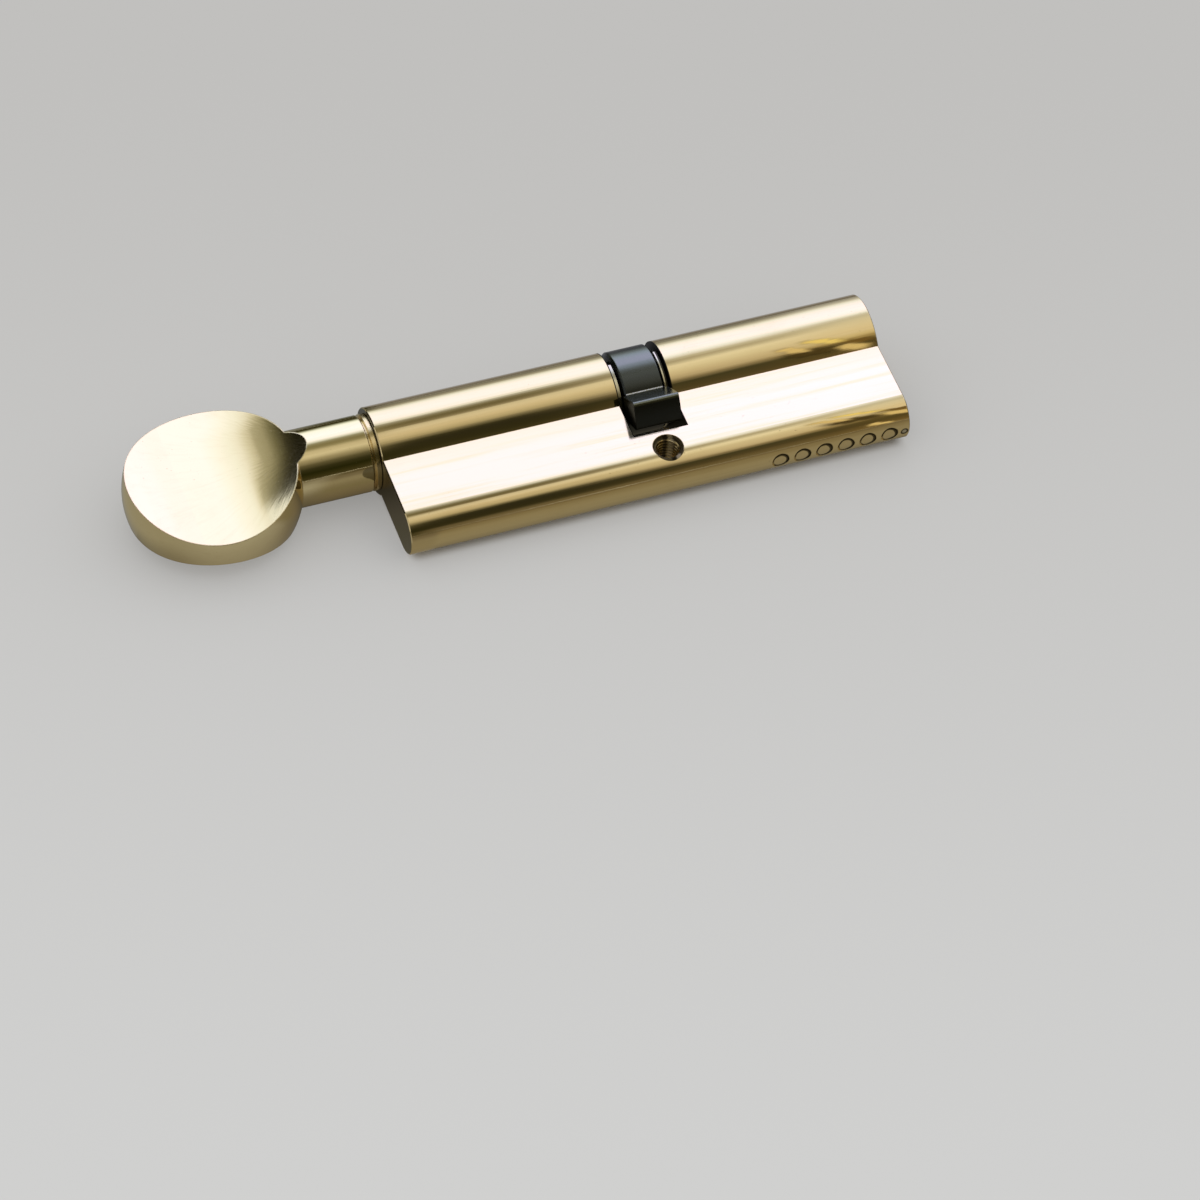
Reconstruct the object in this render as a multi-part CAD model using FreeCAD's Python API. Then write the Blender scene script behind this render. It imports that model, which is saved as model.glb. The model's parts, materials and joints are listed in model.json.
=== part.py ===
import FreeCAD
import Part
import math
import os

from FreeCAD import Vector

# A euro profile lock cylinder with a key side and a thumbturn side, lying on its flank.
# Every piece is drawn in the frame of the profile and leaned over at the end:
#   x  along the plug axis toward the key side, zero at the middle of the cam slot
#   y  up the profile from the foot to the barrel, zero on the plug axis
#   z  out of the flank that faces up when the lock lies down
# Sizes are in millimetres and degrees.

# Housing profile
barrel_r = 8.5
flank_w = 10.0
profile_h = 33.0
thumb_side_l = 52.5
key_side_l = 47.5
edge_break = 0.2

# Cam slot and fixing screw
slot_w = 10.6
screw_drop = 18.8
thread_major_r = 2.5
thread_depth = 0.4
countersink_r = 3.0

# Plugs and the bores that they turn in
plug_r = 6.5
plug_gap = 0.05
head_r = 7.2
head_t = 1.3
head_gap = 0.08

# Retaining rings
ring_t = 0.6
ring_r = 8.1
ring_groove_r = 5.8
ring_gap = 0.03
ring_side_gap = 0.04
ring_open_angle = 80.0
plug_end_lip = 0.4
key_ring_back = 0.5
thumb_ring_turn = 43.0
key_ring_turn = 37.0

# Cam
cam_ring_r = 8.3
cam_ring_w = 8.0
cam_bore_r = 5.0
cam_tip_r = 15.0
cam_nose_t = 5.7
cam_nose_root_t = 4.7
cam_nose_w = 9.1
cam_nose_step = 0.45
cam_nose_angle = 32.2
cam_nose_break = 0.6
cam_break = 0.35
cam_hub_gap = 0.04
cam_lip_gap = 0.15
cam_swing_gap = 0.7

# Clutch between the plugs and the cam
blade_w = 2.9
blade_gap = 0.05
blade_r = 5.6
thumb_blade_l = 3.0
key_blade_l = 4.5
clutch_travel = 3.4
clutch_rest_gap = 0.1
stem_r = 1.5
key_stop_l = 3.0
stem_gap = 0.05
clutch_spring_r = 2.0
clutch_spring_wire = 0.5
clutch_spring_l = 9.0
clutch_spring_turns = 8
spring_bore_gap = 0.3

# Pin chambers
pin_count = 6
pin_pitch = 4.45
first_pin_in = 4.2
pin_r = 1.5
pin_gap = 0.05
key_pin_lengths = [4.0, 5.2, 3.4, 4.8, 4.4, 5.6]
pin_stop_y = 0.6
pin_point = 0.9
pin_break = 0.35
shear_gap = 0.08
driver_l = 4.4
driver_waist_r = 1.15
stopper_l = 2.8
stopper_groove = 0.17
stopper_groove_depth = 0.5
stopper_sink = 0.05
spring_wire = 0.3
spring_mean_r = 1.15
spring_turns = 9
spring_end_gap = 0.03

# Guard pins against drilling
guard_r = 0.75
foot_guard_in = 1.1
foot_guard_l = 9.0
plug_guard_l = 6.0
plug_guard_side = 4.3
plug_guard_y = -1.6

# Keyway, seen from the key side
keyway_floor = -3.4
keyway_w = 2.1
keyway_jog = 0.75
keyway_ward_low = -1.2
keyway_ward_high = 1.6
guide_r = 4.6
guide_depth = 0.5

# Thumbturn
collar_r = 7.4
collar_t = 0.85
collar_gap = 0.1
groove_w = 0.5
groove_r = 6.7
neck_r = 7.4
knob_r = 17.0
knob_centre = 30.9
knob_t = 5.4
knob_scoop_r = 50.0
knob_scoop_back = 3.0
knob_turn = -3.1
spigot_r = 5.0
spigot_l = 10.0
spigot_gap = 0.03
set_screw_r = 2.0
set_screw_in = 5.0
set_screw_flat = 0.5
set_screw_hex = 1.0
set_screw_hex_depth = 1.4
set_screw_sink = 0.3

# Sizes that follow from the ones above
foot_r = flank_w / 2
foot_drop = profile_h - barrel_r - foot_r
crease_y = -math.sqrt(barrel_r**2 - foot_r**2)
lean = math.degrees(math.asin((barrel_r - foot_r) / foot_drop))
slot_half = slot_w / 2
slot_r = cam_tip_r + cam_swing_gap
bore_r = plug_r + plug_gap
chamber_r = pin_r + pin_gap
tap_r = thread_major_r - thread_depth
cam_half = cam_ring_w / 2
slide_w = blade_w + 2 * blade_gap
big = 4 * profile_h

# Places along the axis
thumb_ring_x = -slot_half + ring_side_gap
key_ring_x = slot_half - key_ring_back - ring_t
thumb_lip_x = thumb_ring_x + ring_t + ring_side_gap
thumb_lip_end = thumb_lip_x + plug_end_lip
key_lip_x = key_ring_x - ring_side_gap
key_plug_end = key_lip_x - plug_end_lip
thumb_blade_x = -cam_half - clutch_rest_gap + clutch_travel - thumb_blade_l
thumb_blade_end = thumb_blade_x + thumb_blade_l
key_blade_x = cam_half + clutch_rest_gap
key_slot_end = key_blade_x + key_blade_l + blade_gap
pin_xs = [key_side_l - first_pin_in - i * pin_pitch for i in range(pin_count)]
collar_x = -thumb_side_l - collar_gap
collar_end = collar_x - collar_t
neck_x = collar_end - groove_w
spigot_end = neck_x - spigot_l
knob_x = -thumb_side_l - knob_centre
set_screw_x = neck_x - set_screw_in

# Places up the profile
driver_top = -bore_r - shear_gap
driver_bottom = driver_top - driver_l
foot_y = -foot_drop - foot_r
stopper_top = foot_y + stopper_sink + stopper_l


def block(x0, x1, y0, y1, z0, z1):
    """A box between two corners."""
    return Part.makeBox(x1 - x0, y1 - y0, z1 - z0, Vector(x0, y0, z0))


def shaft(r, x0, x1):
    """A round bar along the plug axis."""
    return Part.makeCylinder(r, x1 - x0, Vector(x0, 0, 0), Vector(1, 0, 0))


def cone(r0, r1, x0, x1):
    """A cone along the plug axis."""
    return Part.makeCone(r0, r1, x1 - x0, Vector(x0, 0, 0), Vector(1, 0, 0))


def upright(r, x, y0, y1):
    """A round bar up the profile from y0 to y1, on the middle plane."""
    return Part.makeCylinder(r, y1 - y0, Vector(x, y0, 0), Vector(0, 1, 0))


def upright_cone(r0, r1, x, y0, y1):
    """A cone up the profile, r0 wide at y0 and r1 wide at y1."""
    return Part.makeCone(r0, r1, y1 - y0, Vector(x, y0, 0), Vector(0, 1, 0))


def turned(shape, angle):
    """The shape turned about the plug axis, y toward z."""
    out = shape.copy()
    out.rotate(Vector(0, 0, 0), Vector(1, 0, 0), angle)
    return out


def face_x(points, x):
    """A flat face across the axis at x, through (y, z) points."""
    ring = [Vector(x, y, z) for y, z in points]
    return Part.Face(Part.makePolygon(ring + ring[:1]))


def arc_between(start, heading, end):
    """The arc that leaves start along heading and reaches end."""
    chord = end - start
    half = chord.Length / 2
    swing = heading.getAngle(chord)
    outward = heading * (half / math.cos(swing)) - chord * 0.5
    outward.normalize()
    middle = start + chord * 0.5 + outward * (half * math.tan(swing / 2))
    return Part.Arc(start, middle, end).toShape()


def biarc(start, heading, end, end_heading):
    """Two arcs that join smoothly and keep the heading at both ends."""
    chord = end - start
    a = 2 * (heading.dot(end_heading) - 1)
    b = -2 * chord.dot(heading + end_heading)
    reach = (-b - math.sqrt(b**2 - 4 * a * chord.dot(chord))) / (2 * a)
    joint = (start + end + (heading - end_heading) * reach) * 0.5
    joint_heading = end - start - (heading + end_heading) * reach
    joint_heading.normalize()
    return [arc_between(start, heading, joint), arc_between(joint, joint_heading, end)]


def coil(mean_r, wire_r, length, turns):
    """A round wire wound up along +Z from zero to the length, in half turns."""
    pitch = (length - 2 * wire_r) / turns
    slope = Vector(0, 2 * math.pi * mean_r, pitch)
    slope.normalize()
    points = []
    headings = []
    for i in range(2 * turns + 1):
        side = 1 if i % 2 == 0 else -1
        points.append(Vector(side * mean_r, 0, wire_r + pitch * i / 2))
        headings.append(Vector(0, side * slope.y, slope.z))
    edges = []
    for i in range(2 * turns):
        edges += biarc(points[i], headings[i], points[i + 1], headings[i + 1])
    section = Part.Wire(Part.makeCircle(wire_r, points[0], headings[0]))
    return Part.Wire(edges).makePipeShell([section], True, False)


def retaining_ring(x, turn):
    """A snap ring with its opening turned about the axis."""
    disc = shaft(ring_r, x, x + ring_t).cut(shaft(ring_groove_r + ring_gap, x - 1, x + ring_t + 1))
    half = math.radians(ring_open_angle / 2)
    reach = 2 * ring_r
    side = reach * math.tan(half)
    wedge = face_x([(0, 0), (reach, side), (reach, -side)], x - 1).extrude(Vector(ring_t + 2, 0, 0))
    return turned(disc.cut(wedge), turn)


def housing_blank():
    """The euro profile as a bar: barrel, two flanks and a round foot."""
    x = -thumb_side_l
    top = Part.Arc(Vector(x, crease_y, foot_r), Vector(x, barrel_r, 0), Vector(x, crease_y, -foot_r))
    back = Part.LineSegment(Vector(x, crease_y, -foot_r), Vector(x, -foot_drop, -foot_r))
    foot = Part.Arc(Vector(x, -foot_drop, -foot_r), Vector(x, foot_y, 0), Vector(x, -foot_drop, foot_r))
    front = Part.LineSegment(Vector(x, -foot_drop, foot_r), Vector(x, crease_y, foot_r))
    outline = Part.Wire([edge.toShape() for edge in (top, back, foot, front)])
    bar = Part.Face(outline).extrude(Vector(thumb_side_l + key_side_l, 0, 0))
    ends = []
    for edge in bar.Edges:
        box = edge.BoundBox
        if box.XLength < 1e-6:
            ends.append(edge)
    return bar.makeChamfer(edge_break, ends)


def fixing_hole():
    """The tool for the fixing screw's hole across the foot: the thread's core drill with its countersinks."""
    drill = Part.makeCylinder(tap_r, 2 * flank_w, Vector(0, 0, -flank_w), Vector(0, 0, 1))
    sink_l = countersink_r - tap_r
    sink_at = Vector(0, 0, foot_r - sink_l)
    top = Part.makeCone(tap_r, countersink_r + 1, sink_l + 1, sink_at, Vector(0, 0, 1))
    low = top.copy()
    low.rotate(Vector(0, 0, 0), Vector(1, 0, 0), 180)
    tool = drill.fuse([top, low])
    tool.translate(Vector(0, -screw_drop, 0))
    return tool


def housing():
    """The brass body with its bores, cam slot, pin chambers and fixing hole."""
    body = housing_blank()
    cuts = [shaft(bore_r, -thumb_side_l - 1, key_side_l + 1)]
    cuts.append(shaft(head_r + head_gap, key_side_l - head_t, key_side_l + 1))
    cuts.append(shaft(slot_r, -slot_half, slot_half))
    for x in pin_xs:
        cuts.append(upright(chamber_r, x, foot_y - 1, -plug_r / 2))
        cuts.append(upright(chamber_r + stopper_groove, x, foot_y - 1, foot_y + stopper_groove_depth))
    guard_top = foot_y + foot_guard_l
    cuts.append(upright(guard_r, key_side_l - foot_guard_in, foot_y - 1, guard_top))
    return body.cut(cuts).cut(fixing_hole())


def keyway():
    """The tool for the keyway: open at the top of the plug, with a jog on each side."""
    half = keyway_w / 2
    low, high = keyway_ward_low, keyway_ward_high
    right = [(keyway_floor, half), (low - half, half), (low, half - keyway_jog)]
    right += [(high - half, half - keyway_jog), (high, half), (plug_r + 2, half)]
    left = [(plug_r + 2, -half), (high + half, -half), (high, -half - keyway_jog / 2)]
    left += [(low + half, -half - keyway_jog), (low, -half), (keyway_floor, -half)]
    way = face_x(right + left, key_slot_end)
    return way.extrude(Vector(key_side_l - key_slot_end + 2, 0, 0))


def key_plug():
    """The plug that the key turns: head, keyway, pin holes, ring groove and clutch slot."""
    body = shaft(plug_r, key_plug_end, key_side_l - head_t / 2)
    body = body.fuse(shaft(head_r, key_side_l - head_t, key_side_l))
    cuts = [keyway()]
    groove = shaft(plug_r + 1, key_lip_x, key_ring_x + ring_t + ring_side_gap)
    cuts.append(groove.cut(shaft(ring_groove_r, key_lip_x - 1, key_ring_x + ring_t + 1)))
    lip = shaft(plug_r + 1, key_plug_end - 1, key_lip_x)
    cuts.append(lip.cut(shaft(plug_r - edge_break, key_plug_end - 2, key_lip_x + 1)))
    cuts.append(block(key_plug_end - 1, key_slot_end, -big, big, -slide_w / 2, slide_w / 2))
    cuts.append(shaft(stem_r + plug_gap, key_plug_end - 1, key_slot_end + key_stop_l))
    cuts.append(cone(guide_r - guide_depth * 2, guide_r, key_side_l - guide_depth, key_side_l + 0.001))
    for x in pin_xs:
        cuts.append(upright(chamber_r, x, -plug_r - 1, pin_stop_y))
    for side in (-plug_guard_side, plug_guard_side):
        cuts.append(guard_rod(side))
    return body.cut(cuts)


def guard_rod(side):
    """One hard pin set into the face of the key plug beside the keyway."""
    rod = shaft(guard_r, key_side_l - plug_guard_l, key_side_l)
    rod.translate(Vector(0, plug_guard_y, side))
    return rod


def key_pin(x, length):
    """A key pin: flat at the shear line, pointed toward the keyway."""
    low = -plug_r + shear_gap
    body = upright(pin_r, x, low + pin_break, low + length - pin_point)
    foot = upright_cone(pin_r - pin_break, pin_r, x, low, low + pin_break)
    point = upright_cone(pin_r, pin_r - pin_point, x, low + length - pin_point, low + length)
    return body.fuse([foot, point])


def driver_pin(x):
    """A driver pin: waisted, with both ends broken."""
    body = upright(pin_r, x, driver_bottom + pin_break, driver_top - pin_break)
    foot = upright_cone(pin_r - pin_break, pin_r, x, driver_bottom, driver_bottom + pin_break)
    head = upright_cone(pin_r, pin_r - pin_break, x, driver_top - pin_break, driver_top)
    middle = (driver_bottom + driver_top) / 2
    waist = upright(pin_r + 1, x, middle - driver_l / 6, middle + driver_l / 6)
    waist = waist.cut(upright(driver_waist_r, x, middle - driver_l, middle + driver_l))
    return body.fuse([foot, head]).cut(waist)


def driver_spring(x):
    """The spring between a driver pin and the stopper of its chamber."""
    length = driver_bottom - stopper_top - 2 * spring_end_gap
    wound = coil(spring_mean_r, spring_wire / 2, length, spring_turns)
    wound.rotate(Vector(0, 0, 0), Vector(1, 0, 0), -90)
    wound.translate(Vector(x, stopper_top + spring_end_gap, 0))
    return wound


def stopper(x):
    """The brass plug that closes a chamber, filed to the round of the foot."""
    body = upright(chamber_r, x, foot_y + stopper_groove_depth, stopper_top)
    face = upright(chamber_r - stopper_groove / 2, x, foot_y - 1, stopper_top)
    foot = Part.makeCylinder(foot_r - stopper_sink, big, Vector(-big / 2, -foot_drop, 0), Vector(1, 0, 0))
    above = block(x - 2 * pin_r, x + 2 * pin_r, -foot_drop, 0, -foot_r, foot_r)
    return body.fuse(face).common(foot.fuse(above))


def foot_guard_pin():
    """The hard pin beside the key face, let into the foot."""
    pin = upright(guard_r, key_side_l - foot_guard_in, foot_y - 1, foot_y + foot_guard_l)
    foot = Part.makeCylinder(foot_r - stopper_sink, big, Vector(-big / 2, -foot_drop, 0), Vector(1, 0, 0))
    above = block(0, key_side_l, -foot_drop, 0, -foot_r, foot_r)
    return pin.common(foot.fuse(above))


def plug_guard_pins():
    """The two hard pins in the face of the key plug."""
    return Part.makeCompound([guard_rod(-plug_guard_side), guard_rod(plug_guard_side)])


def nose_bar(width, y0, y1):
    """A stretch of the cam's nose down the profile from y1 to y0, which widens toward the tip."""
    flare = (cam_nose_t - cam_nose_root_t) / 2 / (cam_tip_r - cam_ring_r)
    points = []
    for y, side in ((y0, -1), (y0, 1), (y1, 1), (y1, -1)):
        points.append((y, side * (cam_nose_root_t / 2 - flare * (y + cam_ring_r))))
    return face_x(points, -width / 2).extrude(Vector(width, 0, 0))


def cam():
    """The ring in the slot with its driving nose and the two clutch slots in its bore."""
    body = shaft(cam_ring_r, -cam_half + cam_break, cam_half - cam_break)
    left = cone(cam_ring_r - cam_break, cam_ring_r, -cam_half, -cam_half + cam_break)
    right = cone(cam_ring_r, cam_ring_r - cam_break, cam_half - cam_break, cam_half)
    step_y = -cam_ring_r - cam_nose_step
    root = nose_bar(cam_ring_w, step_y, -cam_bore_r)
    tongue = nose_bar(cam_nose_w, -cam_tip_r - 1, step_y).common(shaft(cam_tip_r, -slot_half, slot_half))
    tip_edges = []
    for edge in tongue.Edges:
        if edge.BoundBox.XLength > cam_nose_w / 2 and edge.BoundBox.YMax < step_y - 1:
            tip_edges.append(edge)
    tongue = tongue.makeFillet(cam_nose_break, tip_edges)
    nose = turned(root.fuse(tongue), -cam_nose_angle)
    body = body.fuse([left, right, nose])
    slot_reach = blade_r + cam_lip_gap
    keyed = block(-cam_half - 1, cam_half + 1, -slot_reach, slot_reach, -slide_w / 2, slide_w / 2)
    recess = shaft(plug_r + cam_lip_gap, key_plug_end - cam_lip_gap, cam_half + 1)
    return body.cut([shaft(cam_bore_r, -cam_half - 1, cam_half + 1), keyed, recess])


def clutch_blade(x0, x1):
    """A flat blade across the axis with round ends."""
    blade = block(x0, x1, -blade_r, blade_r, -blade_w / 2, blade_w / 2)
    return blade.common(shaft(blade_r, x0 - 1, x1 + 1))


def clutch_thumb_half():
    """The blade that joins the cam to the thumbturn while no key is in."""
    return clutch_blade(thumb_blade_x, thumb_blade_end)


def clutch_key_half():
    """The blade that a key tip pushes into the cam, with its stem and its stop."""
    blade = clutch_blade(key_blade_x, key_blade_x + key_blade_l)
    stem = shaft(stem_r, thumb_blade_end + stem_gap, key_blade_x + key_blade_l / 2)
    stop = shaft(stem_r, key_blade_x + key_blade_l / 2, key_slot_end + key_stop_l - stem_r)
    return blade.fuse([stem, stop])


def clutch_spring_room():
    """Where the clutch spring's bore in the thumb plug ends."""
    return thumb_blade_x - stem_gap - clutch_spring_l


def clutch_spring():
    """The spring that pushes the clutch toward the key side."""
    wound = coil(clutch_spring_r, clutch_spring_wire / 2, clutch_spring_l, clutch_spring_turns)
    wound.rotate(Vector(0, 0, 0), Vector(0, 1, 0), 90)
    wound.translate(Vector(clutch_spring_room(), 0, 0))
    return wound


def thumb_plug():
    """The spindle of the thumbturn: spigot, collar, bearing, ring groove and slotted hub."""
    body = shaft(plug_r, collar_end - groove_w / 2, thumb_lip_end)
    hub = shaft(cam_bore_r - cam_hub_gap, thumb_lip_end - 1, thumb_blade_end + plug_end_lip)
    collar = shaft(collar_r, collar_end, collar_x)
    land = shaft(groove_r, neck_x, collar_end)
    spigot = shaft(spigot_r, spigot_end, collar_end)
    body = body.fuse([hub, collar, land, spigot])
    groove = shaft(plug_r + 1, -slot_half, thumb_lip_x)
    cuts = [groove.cut(shaft(ring_groove_r, -slot_half - 1, thumb_lip_x + 1))]
    slot_from = thumb_blade_x - clutch_travel - blade_gap
    cuts.append(block(slot_from, big, -big, big, -slide_w / 2, slide_w / 2))
    bore = clutch_spring_r + clutch_spring_wire / 2 + spring_bore_gap
    cuts.append(shaft(bore, clutch_spring_room(), thumb_blade_end))
    flat_z = spigot_r - set_screw_flat
    flat = block(set_screw_x - set_screw_r, set_screw_x + set_screw_r, -big, big, -big, -flat_z)
    cuts.append(turned(flat, knob_turn))
    return body.cut(cuts)


def knob_slab():
    """The side outline of the knob: each face is hollowed by one large arc that runs out on the neck."""
    half = knob_t / 2
    rise = neck_r + 1 - half
    run = math.sqrt(2 * knob_scoop_r * rise - rise**2)
    left = knob_x - knob_r - 1
    thinnest = knob_x - knob_scoop_back
    end = half + knob_scoop_r - math.sqrt(knob_scoop_r**2 - (thinnest - left)**2)
    right = neck_x + 1
    curves = [Part.LineSegment(Vector(left, 0, -end), Vector(left, 0, end))]
    curves.append(Part.LineSegment(Vector(right, 0, -half - rise), Vector(right, 0, half + rise)))
    for side in (1, -1):
        high = Vector(thinnest + run, 0, side * (half + rise))
        curves.append(Part.Arc(Vector(left, 0, side * end), Vector(thinnest, 0, side * half), high))
        curves.append(Part.LineSegment(high, Vector(right, 0, side * (half + rise))))
    outline = Part.Wire(Part.__sortEdges__([curve.toShape() for curve in curves]))
    slab = Part.Face(outline).extrude(Vector(0, 2 * knob_r + 2, 0))
    slab.translate(Vector(0, -knob_r - 1, 0))
    return slab


def thumb_knob():
    """The turned ball milled to a disc, with its neck and the bore for the spindle."""
    ball = Part.makeSphere(knob_r, Vector(knob_x, 0, 0))
    neck = shaft(neck_r, knob_x, neck_x - edge_break)
    neck_end = cone(neck_r, neck_r - edge_break, neck_x - edge_break, neck_x)
    body = ball.fuse([neck, neck_end]).common(knob_slab())
    bore = shaft(spigot_r + spigot_gap, spigot_end - edge_break, neck_x + 1)
    screw = Part.makeCylinder(set_screw_r, big, Vector(set_screw_x, 0, 0), Vector(0, 0, -1))
    return turned(body.cut([bore, screw]), knob_turn)


def set_screw():
    """The socket screw that holds the knob on its spindle, from below."""
    top = -spigot_r + set_screw_flat
    low = -neck_r + set_screw_sink
    body = Part.makeCylinder(set_screw_r, top - low, Vector(set_screw_x, 0, low), Vector(0, 0, 1))
    corners = []
    for i in range(6):
        angle = math.radians(60 * i)
        across = set_screw_hex * math.cos(angle)
        corners.append(Vector(set_screw_x + across, set_screw_hex * math.sin(angle), low - 1))
    mouth = Part.Face(Part.makePolygon(corners + corners[:1]))
    socket = mouth.extrude(Vector(0, 0, set_screw_hex_depth + 1))
    return turned(body.cut(socket), knob_turn)


def all_pieces():
    """Every piece by name, in the frame of the profile."""
    pieces = {"housing": housing(), "key_plug": key_plug(), "thumb_plug": thumb_plug()}
    pieces["thumb_knob"] = thumb_knob()
    pieces["knob_set_screw"] = set_screw()
    pieces["cam"] = cam()
    pieces["thumb_retaining_ring"] = retaining_ring(thumb_ring_x, thumb_ring_turn)
    pieces["key_retaining_ring"] = retaining_ring(key_ring_x, key_ring_turn)
    pieces["clutch_thumb_half"] = clutch_thumb_half()
    pieces["clutch_key_half"] = clutch_key_half()
    pieces["clutch_spring"] = clutch_spring()
    pieces["foot_guard_pin"] = foot_guard_pin()
    pieces["plug_guard_pins"] = plug_guard_pins()
    for i, x in enumerate(pin_xs):
        number = i + 1
        pieces["key_pin_%d" % number] = key_pin(x, key_pin_lengths[i])
        pieces["driver_pin_%d" % number] = driver_pin(x)
        pieces["driver_spring_%d" % number] = driver_spring(x)
        pieces["chamber_stopper_%d" % number] = stopper(x)
    return pieces


def lay_down(pieces):
    """Lean the lock onto barrel and foot, with the origin under the middle of its box."""
    for shape in pieces.values():
        shape.rotate(Vector(0, 0, 0), Vector(1, 0, 0), lean)
    reach = Part.makeCompound(list(pieces.values())).optimalBoundingBox(False, False)
    shift = Vector(-reach.Center.x, -reach.Center.y, -reach.ZMin)
    for shape in pieces.values():
        shape.translate(shift)
    return shift


def main():
    """Write one STEP file for each piece."""
    os.makedirs("parts", exist_ok=True)
    pieces = all_pieces()
    shift = lay_down(pieces)
    print("lean %.4f shift %.4f %.4f %.4f" % (lean, shift.x, shift.y, shift.z))
    for name, shape in pieces.items():
        facts = (name, shape.Volume, shape.isValid(), len(shape.Solids))
        print("%-24s %8.2f mm3 valid %s solids %d" % facts)
        shape.exportStep("parts/%s.step" % name)


main()
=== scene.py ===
"""The looks of a thumbturn euro cylinder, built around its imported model.

The lock lies on its flank, with its barrel and its foot on the ground. The plug axis runs along X, with the
thumbturn at the low end. Lengths are in metres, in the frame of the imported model.
"""

import json
import logging
import math
from dataclasses import dataclass
from enum import Enum

import bpy
import numpy as np
from mathutils import Matrix, Vector


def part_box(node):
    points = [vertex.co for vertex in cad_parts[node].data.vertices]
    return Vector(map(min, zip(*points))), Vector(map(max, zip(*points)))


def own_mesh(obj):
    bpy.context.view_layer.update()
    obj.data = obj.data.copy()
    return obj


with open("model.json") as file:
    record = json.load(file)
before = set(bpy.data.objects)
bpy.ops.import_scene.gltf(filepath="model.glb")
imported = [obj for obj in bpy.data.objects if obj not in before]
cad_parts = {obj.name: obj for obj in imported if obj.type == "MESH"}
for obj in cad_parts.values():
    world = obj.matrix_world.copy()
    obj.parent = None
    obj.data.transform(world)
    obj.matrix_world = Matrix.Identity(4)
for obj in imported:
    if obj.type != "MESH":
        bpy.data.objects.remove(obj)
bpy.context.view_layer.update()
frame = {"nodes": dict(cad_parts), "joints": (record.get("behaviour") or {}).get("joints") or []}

Point = tuple[float, float, float]
Colour = tuple[float, float, float]
Look = tuple[int, int, int]
Stops = tuple[tuple[float, Look], ...]
Span = tuple[float, float]
Grid = np.ndarray
log = logging.getLogger("lock")

MM = 0.001
BRASS: Colour = (0.88, 0.71, 0.38)
CLIPPED_RED = 248
LEAST_RED = 0.62
RAMP_GAIN = 3.0


def linear(look: Look) -> Colour:
    """The linear colour of a look, by the usual curve with its straight foot.

    Args:
        look: A look as a picture has it, from 0 to 255.

    Returns:
        The colour, from 0 to 1.
    """
    share = np.array(look) / 255.0
    curve = np.where(share <= 0.04045, share / 12.92, ((share + 0.055) / 1.055) ** 2.4)
    return tuple(curve.tolist())


def light_for(look: Look) -> Colour:
    """The light in which polished brass shows a look: the look's linear colour over the colour of brass.

    In a look near white the red clips, so there it is kept near the blue.

    Args:
        look: A look as a picture has it, from 0 to 255.

    Returns:
        The light's linear colour.
    """
    light = np.array(linear(look)) / np.array(BRASS)
    if look[0] > CLIPPED_RED:
        light[0] = max(light[0], LEAST_RED * light[2])
    return tuple(light.tolist())


def middle(node: str) -> Vector:
    """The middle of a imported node's box."""
    low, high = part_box(node)
    return (low + high) / 2


class Link:
    """The output of a shader node, which takes part in plain arithmetic."""

    def __init__(self, bench: "Bench", socket: bpy.types.NodeSocket) -> None:
        """Keeps the socket and the bench that adds further nodes."""
        self.bench = bench
        self.socket = socket

    def __add__(self, other: "Link | float") -> "Link":
        """The sum of two values."""
        return self.bench.math("ADD", self, other)

    def __sub__(self, other: "Link | float") -> "Link":
        """This value less the other."""
        return self.bench.math("SUBTRACT", self, other)

    def __rsub__(self, other: float) -> "Link":
        """The other value less this one."""
        return self.bench.math("SUBTRACT", other, self)

    def __mul__(self, other: "Link | float") -> "Link":
        """The product of two values."""
        return self.bench.math("MULTIPLY", self, other)

    def __truediv__(self, other: "Link | float") -> "Link":
        """This value over the other."""
        return self.bench.math("DIVIDE", self, other)

    def __rtruediv__(self, other: float) -> "Link":
        """The other value over this one."""
        return self.bench.math("DIVIDE", other, self)

    def __abs__(self) -> "Link":
        """The value without its sign."""
        return self.bench.math("ABSOLUTE", self)

    __radd__ = __add__
    __rmul__ = __mul__

    def step(self, low: float, high: float) -> "Link":
        """A smooth rise.

        Args:
            low: Where it is 0.
            high: Where it is 1. It may be the smaller of the two, for a fall.

        Returns:
            A value from 0 to 1.
        """
        settings = {"interpolation_type": "SMOOTHSTEP"}
        sockets = {"Value": self, "From Min": low, "From Max": high}
        return self.bench.node("ShaderNodeMapRange", settings, sockets, "Result")

    def within(self, low: float, high: float, edge: float) -> "Link":
        """1 between low and high and 0 outside them, with soft edges of a given width."""
        return self.step(low - edge, low) * self.step(high + edge, high)


Value = Link | float | tuple[float, ...]


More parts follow.
